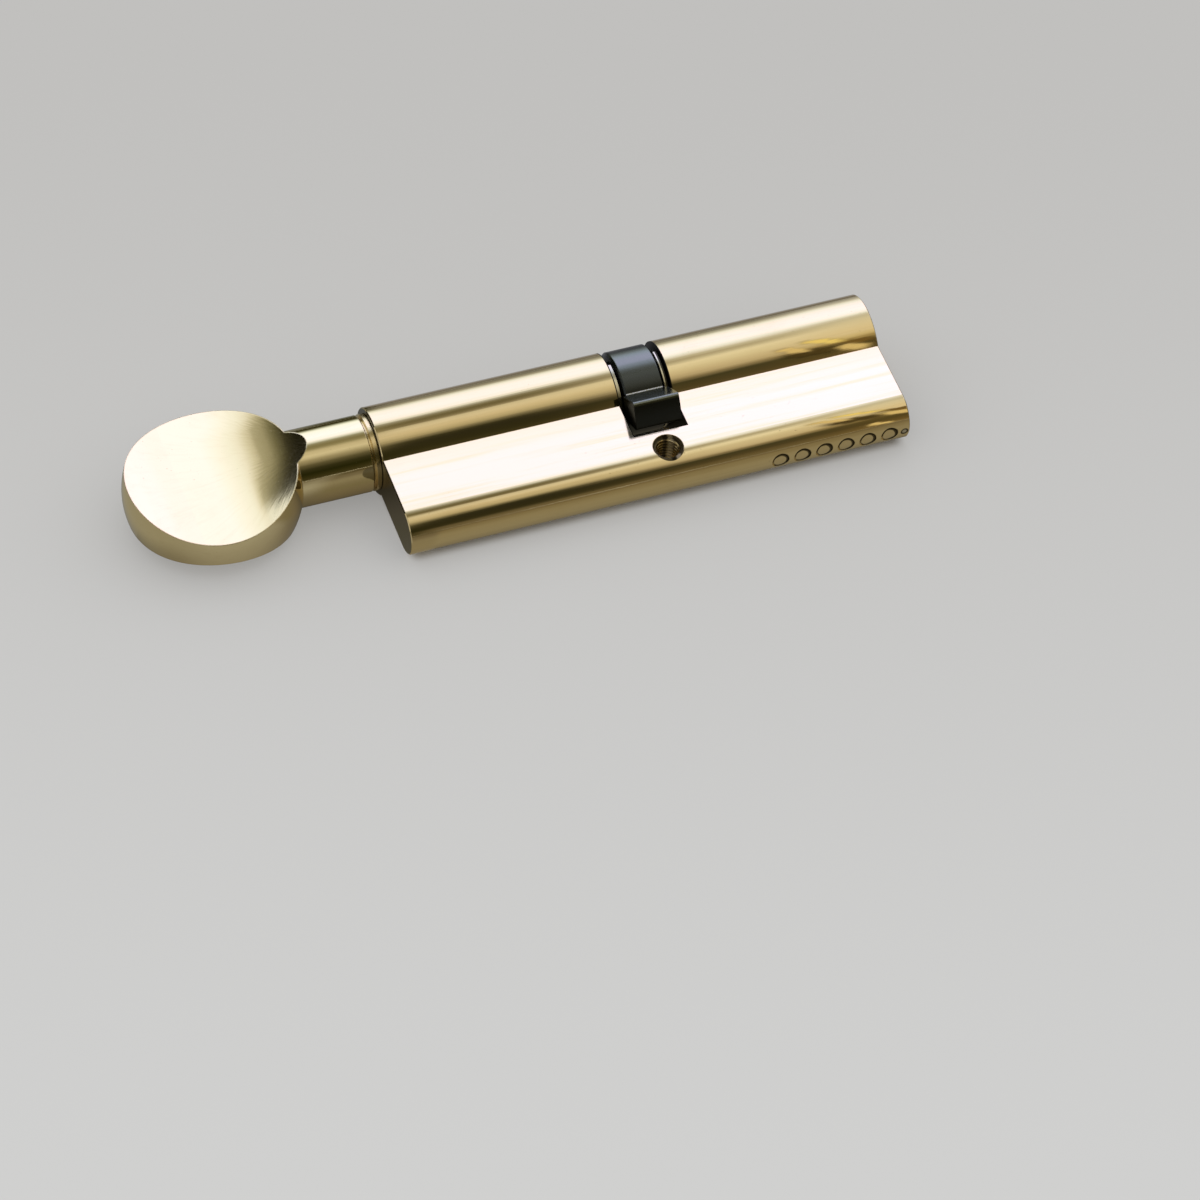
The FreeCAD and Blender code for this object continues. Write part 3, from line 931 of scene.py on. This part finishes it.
def stage_sheet(name: str, points: Grid, material: bpy.types.Material, seen: bool) -> None:
    """Sets up a piece of the stage.

    Args:
        name: The object's name.
        points: A grid of points, rows by columns by three.
        material: Its material.
        seen: Whether the camera and the lit surfaces see it, or only reflections do.
    """
    rows, columns = points.shape[:2]
    first = (np.arange(rows - 1)[:, None] * columns + np.arange(columns - 1)[None, :]).ravel()
    faces = np.stack([first, first + 1, first + columns + 1, first + columns], axis=1)
    mesh = bpy.data.meshes.new(name)
    mesh.from_pydata(points.reshape(-1, 3).tolist(), [], faces.tolist())
    mesh.materials.append(material)
    made = bpy.data.objects.new(name, mesh)
    bpy.context.scene.collection.objects.link(made)
    if not seen:
        made.visible_camera = False
        made.visible_shadow = False
        made.visible_diffuse = False
    log.info("set up %s", name)


def level_sheet(across: Span, deep: Span, height: float) -> Grid:
    """The four corners of a level sheet.

    Args:
        across: Where it starts and ends along x.
        deep: Where it starts and ends along y.
        height: How high it lies.

    Returns:
        The points, two rows of two.
    """
    x, y = np.meshgrid(across, deep)
    return np.stack([x, y, np.full_like(x, height)], axis=-1)


@dataclass(frozen=True)
class Tent:
    """A half round light tent over the plug axis, which only reflections see.

    Its light is given by the look that polished brass takes in it, at angles from straight up toward the
    back: for the knob's neck, for the thumb side of the housing, for the middle just past the cam and for the
    key end. The end spans say where along the axis one list turns into the next. A sweep of looks along the
    axis, at places in thousandths of a metre, is the most that the tent gives. It darkens the thumb end, and
    shifts where the lower and the upper edge of the knob's face mirror it. A pale patch lies where the face's
    lower edge mirrors the tent.
    """

    radius: float = 0.70
    ends: Span = (-1.1, 1.5)
    angles: Span = (-90.0, 90.0)
    columns: int = 97
    neck_end: Span = (0.1295, 0.1335)
    thumb_end: Span = (0.175, 0.250)
    middle_end: Span = (0.262, 0.300)
    disc_x: float = -65 * MM
    disc_angle: float = 33.05
    disc_bend: float = 58.0
    disc_reach: float = 1.3
    disc_limit: float = 1.5
    low_edge: Span = (-1.06, -0.86)
    low_fade: Span = (-0.080, -0.165)
    low_shift: float = 0.12
    high_edge: Span = (0.70, 1.10)
    high_shift: float = 0.06
    patch_edge: Span = (-0.84, -0.98)
    patch_start: Span = (-0.42, -0.20)
    patch_end: Span = (-0.10, -0.14)
    patch_look: Look = (238, 228, 196)
    neck_looks: Stops = (
        (-90, (64, 54, 24)), (-82, (50, 43, 14)), (-71, (34, 31, 6)), (-59, (50, 44, 18)),
        (-47, (92, 80, 46)), (-35, (158, 139, 93)), (-23, (204, 182, 130)), (-11, (190, 168, 118)),
        (-3, (140, 124, 78)), (3, (126, 110, 66)), (8, (132, 118, 76)), (13, (148, 136, 98)),
        (18, (214, 204, 172)), (25, (250, 245, 222)), (37, (254, 250, 234)), (50, (252, 247, 227)),
        (61, (253, 246, 216)), (67, (230, 222, 186)), (73, (150, 144, 110)), (79, (66, 60, 28)),
        (86, (48, 42, 15)), (90, (52, 46, 20)),
    )
    thumb_looks: Stops = (
        (-90, (104, 88, 53)), (-82, (104, 87, 53)), (-75, (62, 53, 25)), (-68, (48, 41, 17)),
        (-52, (44, 38, 18)), (-46, (54, 47, 22)), (-41, (112, 98, 62)), (-34, (178, 156, 104)),
        (-24, (206, 180, 126)), (-14, (212, 189, 138)), (-8, (200, 179, 131)), (-4, (128, 111, 71)),
        (3, (104, 89, 52)), (8, (118, 104, 66)), (13, (158, 146, 114)), (18, (228, 216, 184)),
        (24, (251, 244, 222)), (33, (253, 247, 231)), (50, (253, 247, 230)), (61, (244, 236, 208)),
        (66, (222, 211, 178)), (73, (160, 148, 115)), (80, (128, 118, 89)), (90, (114, 105, 79)),
    )
    middle_looks: Stops = (
        (-90, (104, 88, 52)), (-80, (98, 80, 44)), (-70, (76, 62, 31)), (-56, (64, 56, 28)),
        (-48, (140, 119, 76)), (-42, (184, 160, 110)), (-34, (197, 172, 120)), (-22, (212, 190, 136)),
        (-10, (228, 207, 154)), (-4, (198, 180, 134)), (3, (172, 154, 111)), (9, (196, 180, 140)),
        (14, (228, 215, 184)), (21, (248, 241, 218)), (27, (254, 248, 231)), (37, (255, 249, 238)),
        (50, (253, 247, 230)), (62, (244, 236, 208)), (67, (220, 209, 176)), (73, (178, 167, 134)),
        (82, (130, 121, 93)), (90, (118, 110, 84)),
    )
    key_looks: Stops = (
        (-90, (120, 96, 50)), (-80, (98, 76, 34)), (-66, (82, 66, 30)), (-56, (92, 74, 34)),
        (-46, (160, 132, 72)), (-38, (204, 176, 112)), (-30, (214, 188, 132)), (-22, (216, 190, 134)),
        (0, (212, 193, 145)), (7, (196, 180, 138)), (13, (204, 189, 152)), (19, (244, 236, 208)),
        (25, (253, 248, 231)), (37, (254, 252, 242)), (50, (251, 245, 232)), (62, (248, 240, 216)),
        (68, (232, 221, 190)), (74, (198, 186, 154)), (84, (154, 143, 114)), (90, (140, 131, 106)),
    )
    sweep_looks: Stops = (
        (-420, (26, 22, 9)), (-330, (30, 26, 12)), (-290, (54, 48, 26)), (-250, (108, 98, 62)),
        (-218, (150, 137, 96)), (-182, (166, 152, 110)), (-168, (194, 178, 136)), (-150, (212, 197, 155)),
        (-120, (237, 223, 188)), (-90, (245, 234, 202)), (-37, (251, 244, 218)), (20, (254, 249, 232)),
        (80, (255, 252, 243)), (140, (255, 254, 250)),
    )

    def disc_height(self, bench: Bench, x: Link, angle: Link) -> Link:
        """Where on the knob's face a point of the tent shows.

        The middle line of the face maps to an angle that grows with the square of the distance from a place.

        Args:
            bench: The bench of the material.
            x: Where the point is along the plug axis.
            angle: Its angle round the axis.

        Returns:
            -1 at the face's edge toward the foot and 1 at its edge toward the barrel.
        """
        off = x - self.disc_x
        height = (angle - self.disc_angle - off * off * self.disc_bend) / self.disc_reach
        return bench.math("MINIMUM", bench.math("MAXIMUM", height, -self.disc_limit), self.disc_limit)

    def material(self, layout: Layout) -> bpy.types.Material:
        """The tent's light: the lists of looks, joined along the axis and capped by the sweep.

        Args:
            layout: Where the plug axis lies.

        Returns:
            A new material.
        """
        made, bench = blank("tent_cloth")
        x, y, z = bench.split(bench.place())
        angle = layout.angle(bench, y, z)
        glow = bench.mix(x.step(*self.neck_end), bench.lit(angle, self.neck_looks),
                         bench.lit(angle, self.thumb_looks))
        glow = bench.mix(x.step(*self.thumb_end), glow, bench.lit(angle, self.middle_looks))
        glow = bench.mix(x.step(*self.middle_end), glow, bench.lit(angle, self.key_looks))
        height = self.disc_height(bench, x, angle)
        down = bench.math("MINIMUM", height, 0.0) * height.step(*self.low_edge) * x.step(*self.low_fade)
        shifted = x + down * self.low_shift + height.step(*self.high_edge) * self.high_shift
        cap = bench.lit(shifted, self.sweep_looks, MM)
        patch = height.step(*self.patch_edge) * x.step(*self.patch_start) * x.step(*self.patch_end)
        cap = bench.mix(patch, cap, light_for(self.patch_look))
        bench.surface(bench.glow(bench.mix(1.0, glow, cap, "DARKEN")))
        return made

    def build(self, layout: Layout) -> None:
        """Sets up the tent."""
        points = layout.round_sheet(self.radius, self.ends, self.angles, self.columns)
        stage_sheet("light_tent", points, self.material(layout), seen=False)


@dataclass(frozen=True)
class Lens:
    """A lens-shaped patch of a card.

    Its place and its half length along the axis are in thousandths of a metre, its place and half height
    round the axis in degrees, and its tilt in degrees per thousandth of a metre.
    """

    x: float
    angle: float
    half_length: float
    half_height: float
    tilt: float
    look: Look
    fade: Span = (1.2, 0.55)

    def mask(self, bench: Bench, x: Link, angle: Link) -> Link:
        """A fall with the length of the two offsets, each over its half size.

        Args:
            bench: The bench of the material.
            x: Where the point is along the plug axis.
            angle: Its angle round the axis.

        Returns:
            1 in the middle of the lens and 0 outside it.
        """
        off = x - self.x * MM
        across = (angle - self.angle - off * (self.tilt / MM)) / self.half_height
        return bench.length(off / (self.half_length * MM), across).step(*self.fade)


@dataclass(frozen=True)
class FlameCard:
    """A clear curved card close in front of the key end, whose golden flames only reflections see.

    A noise, its cells counted per metre and per degree, ripples the flames' outlines.
    """

    radius: float = 60 * MM
    ends: Span = (55 * MM, 110 * MM)
    angles: Span = (-96.0, -15.0)
    columns: int = 33
    cells_along: float = 420.0
    cells_round: float = 0.14
    ripple_along: float = 2.2 * MM
    ripple_round: float = 10.0
    gold: Look = (214, 180, 106)
    bright: Look = (232, 198, 102)
    brown: Look = (108, 80, 32)
    dark: Look = (72, 56, 24)

    def lenses(self) -> list[Lens]:
        """The flames and the dark streaks between them, each over the ones before it."""
        return [
            Lens(78.0, -56, 8.0, 9.0, -0.6, self.dark),
            Lens(87.0, -53, 5.0, 6.0, -1.1, self.brown),
            Lens(89.5, -70, 3.0, 9.0, -0.5, self.dark),
            Lens(73.3, -42, 3.9, 7.0, -2.6, self.gold),
            Lens(80.0, -37, 5.2, 6.5, -2.0, self.bright),
            Lens(86.0, -64, 3.8, 8.0, -1.3, self.gold),
            Lens(80.5, -86, 3.4, 5.0, -1.0, self.gold),
        ]

    def material(self, layout: Layout) -> bpy.types.Material:
        """Clear, with the lenses glowing on it.

        Args:
            layout: Where the plug axis lies.

        Returns:
            A new material.
        """
        made, bench = blank("flame_card")
        x, y, z = bench.split(bench.place())
        angle = layout.angle(bench, y, z)
        cell = bench.combine(x * self.cells_along, angle * self.cells_round, 0.0)
        ripple = bench.noise(cell, detail=3.0) - 0.5
        x, angle = x + ripple * self.ripple_along, angle + ripple * self.ripple_round
        glow = bench.combine(0.0, 0.0, 0.0)
        share = x * 0.0
        for lens in self.lenses():
            mask = lens.mask(bench, x, angle)
            glow = bench.mix(mask, glow, light_for(lens.look))
            share = bench.most(share, mask)
        clear = bench.node("ShaderNodeBsdfTransparent", {}, {})
        bench.surface(bench.node("ShaderNodeMixShader", {}, {0: share, 1: clear, 2: bench.glow(glow)}))
        return made

    def build(self, layout: Layout) -> None:
        """Sets up the card."""
        points = layout.round_sheet(self.radius, self.ends, self.angles, self.columns)
        stage_sheet("flame_card", points, self.material(layout), seen=False)


# Painted shade: each card's dim glow stands in, in the brass's reflections, for the floor darkened round the
# lock.
@dataclass(frozen=True)
class FloorCard:
    """A card that lies on the floor on one side of the lock, which only reflections see.

    Its looks are given by the distance from its near edge, in thousandths of a metre, in lists for what the
    knob's rim, its neck and the housing show. The lines between them slant, since the camera looks from the
    knob's end. Left of the knob the rim's light is flat, and it darkens farther out.
    """

    name: str
    near: float
    far: float
    rim_looks: Stops
    neck_looks: Stops
    body_looks: Stops
    ends: Span = (-0.6, 0.8)
    height: float = 0.05 * MM
    slope: float = 0.24
    rim_end: float = -40 * MM
    rim_edge: float = 3 * MM
    body_gap: float = 0.5 * MM
    body_edge: float = 1.0 * MM
    flat_fade: Span = (-0.066, -0.082)
    flat_look: Look = (142, 128, 92)
    dark_fade: Span = (-0.085, -0.30)
    dark_share: float = 0.8
    dark_look: Look = (84, 73, 44)

    def material(self, layout: Layout) -> bpy.types.Material:
        """The card's light: the lists of looks side by side.

        Args:
            layout: Where the housing ends.

        Returns:
            A new material.
        """
        made, bench = blank(self.name)
        x, y, _ = bench.split(bench.place())
        distance = abs(y - self.near)
        slanted = x - distance * self.slope
        rim = bench.lit(distance, self.rim_looks, MM)
        rim = bench.mix(x.step(*self.flat_fade), rim, light_for(self.flat_look))
        rim = bench.mix(slanted.step(*self.dark_fade) * self.dark_share, rim, light_for(self.dark_look))
        past_rim = slanted.step(self.rim_end - self.rim_edge, self.rim_end + self.rim_edge)
        glow = bench.mix(past_rim, rim, bench.lit(distance, self.neck_looks, MM))
        body_end = layout.body_low - self.body_gap
        past_neck = slanted.step(body_end - self.body_edge, body_end + self.body_edge)
        glow = bench.mix(past_neck, glow, bench.lit(distance, self.body_looks, MM))
        bench.surface(bench.glow(glow))
        return made

    def build(self, layout: Layout) -> None:
        """Lays the card down, facing up."""
        points = level_sheet(self.ends, tuple(sorted((self.near, self.far))), self.height)
        stage_sheet(self.name, points, self.material(layout), seen=False)


@dataclass(frozen=True)
class Studio:
    """Floor, lights and camera.

    The floor's colour fades with the distance along the camera's view, whose direction on the floor is away.
    """

    eye: Point = (-0.22360, -0.65965, 0.59574)
    aim: Point = (0.00023, -0.05023, 0.0085)
    roll: float = 0.136
    lens: float = 144.53
    film: float = 36.0
    clip: Span = (0.05, 20.0)
    floor_span: Span = (-2.0, 2.0)
    near_floor: Look = (209, 209, 208)
    far_floor: Look = (193, 192, 190)
    floor_fade: Span = (-0.24, 0.15)
    away: tuple[float, float] = (0.345, 0.939)
    floor_glow: float = 0.45
    inset: float = 2.5 * MM

    def camera(self) -> None:
        """The camera stands where the photograph was taken from."""
        data = bpy.data.cameras.new("photo_camera")
        data.lens = self.lens
        data.sensor_width = self.film
        data.clip_start, data.clip_end = self.clip
        camera = bpy.data.objects.new("photo_camera", data)
        bpy.context.scene.collection.objects.link(camera)
        turn = (Vector(self.aim) - Vector(self.eye)).to_track_quat("-Z", "Y").to_matrix().to_4x4()
        roll = Matrix.Rotation(math.radians(self.roll), 4, "Z")
        camera.matrix_world = Matrix.Translation(self.eye) @ turn @ roll
        bpy.context.scene.camera = camera

    def seen(self, bench: Bench) -> Link:
        """What sees a surface as a background does.

        Args:
            bench: The bench of the material.

        Returns:
            1 for rays from the camera, from mirrors and through glass, and 0 for others.
        """
        rays = bench.node("ShaderNodeLightPath", {}, {}).socket.node.outputs
        seen = Link(bench, rays["Is Camera Ray"]) + Link(bench, rays["Is Glossy Ray"])
        return bench.math("MINIMUM", seen + Link(bench, rays["Is Transmission Ray"]), 1.0)

    def floor(self, layout: Layout) -> None:
        """A plain pale sheet on which the lock lies, a little lighter toward the camera.

        What the camera, mirrors and glass see of it glows by a share, which weakens the lock's shadow, though
        not right under the housing.

        Args:
            layout: Where the housing lies.
        """
        made, bench = blank("floor_paper")
        x, y, _ = bench.split(bench.place())
        away = x * self.away[0] + y * self.away[1]
        colour = bench.mix(away.step(*self.floor_fade), linear(self.near_floor), linear(self.far_floor))
        paper = bench.node("ShaderNodeBsdfPrincipled", {}, {
            "Base Color": colour, "Roughness": 0.9, "Specular IOR Level": 0.0,
        })
        under = x.within(layout.body_low + self.inset, layout.body_high - self.inset, self.inset)
        under = under * y.within(layout.body_front + self.inset, layout.body_back - self.inset, self.inset)
        share = self.seen(bench) * self.floor_glow * (1 - under)
        bench.surface(bench.node("ShaderNodeMixShader", {}, {0: share, 1: paper, 2: bench.glow(colour)}))
        stage_sheet("floor", level_sheet(self.floor_span, self.floor_span, 0.0), made, seen=True)

    def world(self) -> None:
        """An even white light, which the camera, mirrors and glass see as the colour of the far floor."""
        world = bpy.data.worlds.new("surround")
        world.use_nodes = True
        bpy.context.scene.world = world
        bench = Bench(world.node_tree)
        colour = bench.mix(self.seen(bench), (1.0, 1.0, 1.0), linear(self.far_floor))
        light = bench.node("ShaderNodeBackground", {}, {"Color": colour, "Strength": 1.0})
        bench.node("ShaderNodeOutputWorld", {}, {"Surface": light})

    def cards(self, layout: Layout) -> list[FloorCard]:
        """The cards that lie on the floor, from under the plug axis out to the front and to the back.

        Args:
            layout: Where the plug axis lies.

        Returns:
            The two cards.
        """
        front = FloorCard(
            "front_card", layout.axis_y, -0.70,
            rim_looks=(
                (0, (60, 50, 26)), (12, (110, 96, 66)), (18, (136, 122, 88)), (26, (150, 136, 100)),
                (38, (148, 134, 98)), (60, (136, 122, 88)), (150, (120, 106, 74)), (600, (90, 78, 48)),
            ),
            neck_looks=(
                (0, (60, 50, 26)), (8, (104, 88, 56)), (11, (110, 94, 60)), (14, (112, 97, 60)),
                (18, (118, 102, 66)), (25, (130, 114, 76)), (33, (128, 112, 75)), (45, (112, 96, 63)),
                (144, (82, 68, 36)), (600, (64, 52, 24)),
            ),
            body_looks=(
                (0, (60, 50, 26)), (8, (104, 88, 56)), (14, (108, 92, 60)), (18, (96, 82, 52)),
                (20, (66, 57, 34)), (21.5, (96, 84, 55)), (23, (120, 105, 70)), (26, (135, 119, 81)),
                (32, (136, 119, 79)), (50, (126, 108, 68)), (110, (108, 90, 54)), (600, (98, 82, 48)),
            ),
        )
        back = FloorCard(
            "back_card", layout.axis_y, 0.70,
            rim_looks=(
                (0, (90, 80, 56)), (16, (124, 114, 84)), (300, (50, 44, 18)),
            ),
            neck_looks=(
                (0, (90, 80, 56)), (16, (124, 114, 84)), (28, (128, 119, 88)), (46, (108, 101, 74)),
                (80, (74, 67, 40)), (130, (58, 51, 24)), (300, (50, 44, 18)),
            ),
            body_looks=(
                (0, (90, 80, 56)), (16, (158, 145, 112)), (30, (156, 143, 111)), (51, (134, 121, 92)),
                (76, (122, 109, 82)), (126, (110, 97, 72)), (316, (104, 93, 68)),
            ),
        )
        return [front, back]

    def build(self, layout: Layout) -> None:
        """Sets up the whole studio.

        Args:
            layout: Where the lock's parts lie.
        """
        self.camera()
        self.floor(layout)
        self.world()
        Tent().build(layout)
        FlameCard().build(layout)
        for card in self.cards(layout):
            card.build(layout)
        bpy.context.scene.view_settings.view_transform = "Standard"


@dataclass
class Housing:
    """The brass body with the plugs of its pin chambers and the small hard pin beside them."""

    stopper_count: int = 6

    def dress(self, layout: Layout) -> None:
        """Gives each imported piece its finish.

        Args:
            layout: Where the lock's parts lie.
        """
        dress("housing", HOUSING_BRASS.material(layout))
        dress("foot_guard_pin", GUARD_STEEL.material(layout))
        plugs = STOPPER_BRASS.material(layout)
        for number in range(1, self.stopper_count + 1):
            dress(f"chamber_stopper_{number}", plugs)


@dataclass
class Thumbturn:
    """The knob on its spindle, with the set screw and the ring that holds the spindle."""

    def dress(self, layout: Layout) -> None:
        """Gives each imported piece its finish.

        Args:
            layout: Where the lock's parts lie.
        """
        dress("thumb_knob", KNOB_BRASS.material(layout))
        dress("knob_set_screw", GUARD_STEEL.material(layout))
        dress("thumb_plug", SPINDLE_BRASS.material(layout))
        dress("thumb_retaining_ring", RING_STEEL.material(layout))


@dataclass
class KeySide:
    """The key plug, its hard pins and its ring, and the pin stacks below it."""

    stack_count: int = 6

    def dress(self, layout: Layout) -> None:
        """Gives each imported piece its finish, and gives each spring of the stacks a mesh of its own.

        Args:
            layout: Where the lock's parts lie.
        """
        dress("key_plug", KEY_PLUG_BRASS.material(layout))
        dress("plug_guard_pins", GUARD_STEEL.material(layout))
        dress("key_retaining_ring", RING_STEEL.material(layout))
        pins = PIN_BRASS.material(layout)
        wire = SPRING_STEEL.material(layout)
        for number in range(1, self.stack_count + 1):
            dress(f"key_pin_{number}", pins)
            dress(f"driver_pin_{number}", pins)
            dress(f"driver_spring_{number}", wire)
            shorten(f"driver_spring_{number}", f"driver_pin_slide_{number}")


@dataclass
class CamUnit:
    """The cam and the clutch in its bore."""

    def dress(self, layout: Layout) -> None:
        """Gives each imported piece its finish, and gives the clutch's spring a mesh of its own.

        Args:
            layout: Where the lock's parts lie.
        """
        dress("cam", CAM_STEEL.material(layout))
        steel = CLUTCH_STEEL.material(layout)
        dress("clutch_thumb_half", steel)
        dress("clutch_key_half", steel)
        dress("clutch_spring", SPRING_STEEL.material(layout))
        shorten("clutch_spring", "clutch_follow")


def main() -> None:
    """Dresses the lock piece by piece and sets up the studio."""
    logging.basicConfig(level=logging.INFO, format="%(name)s: %(message)s")
    layout = Layout.read()
    Studio().build(layout)
    for unit in (Housing(), Thumbturn(), KeySide(), CamUnit()):
        unit.dress(layout)


if __name__ == "__main__":
    main()
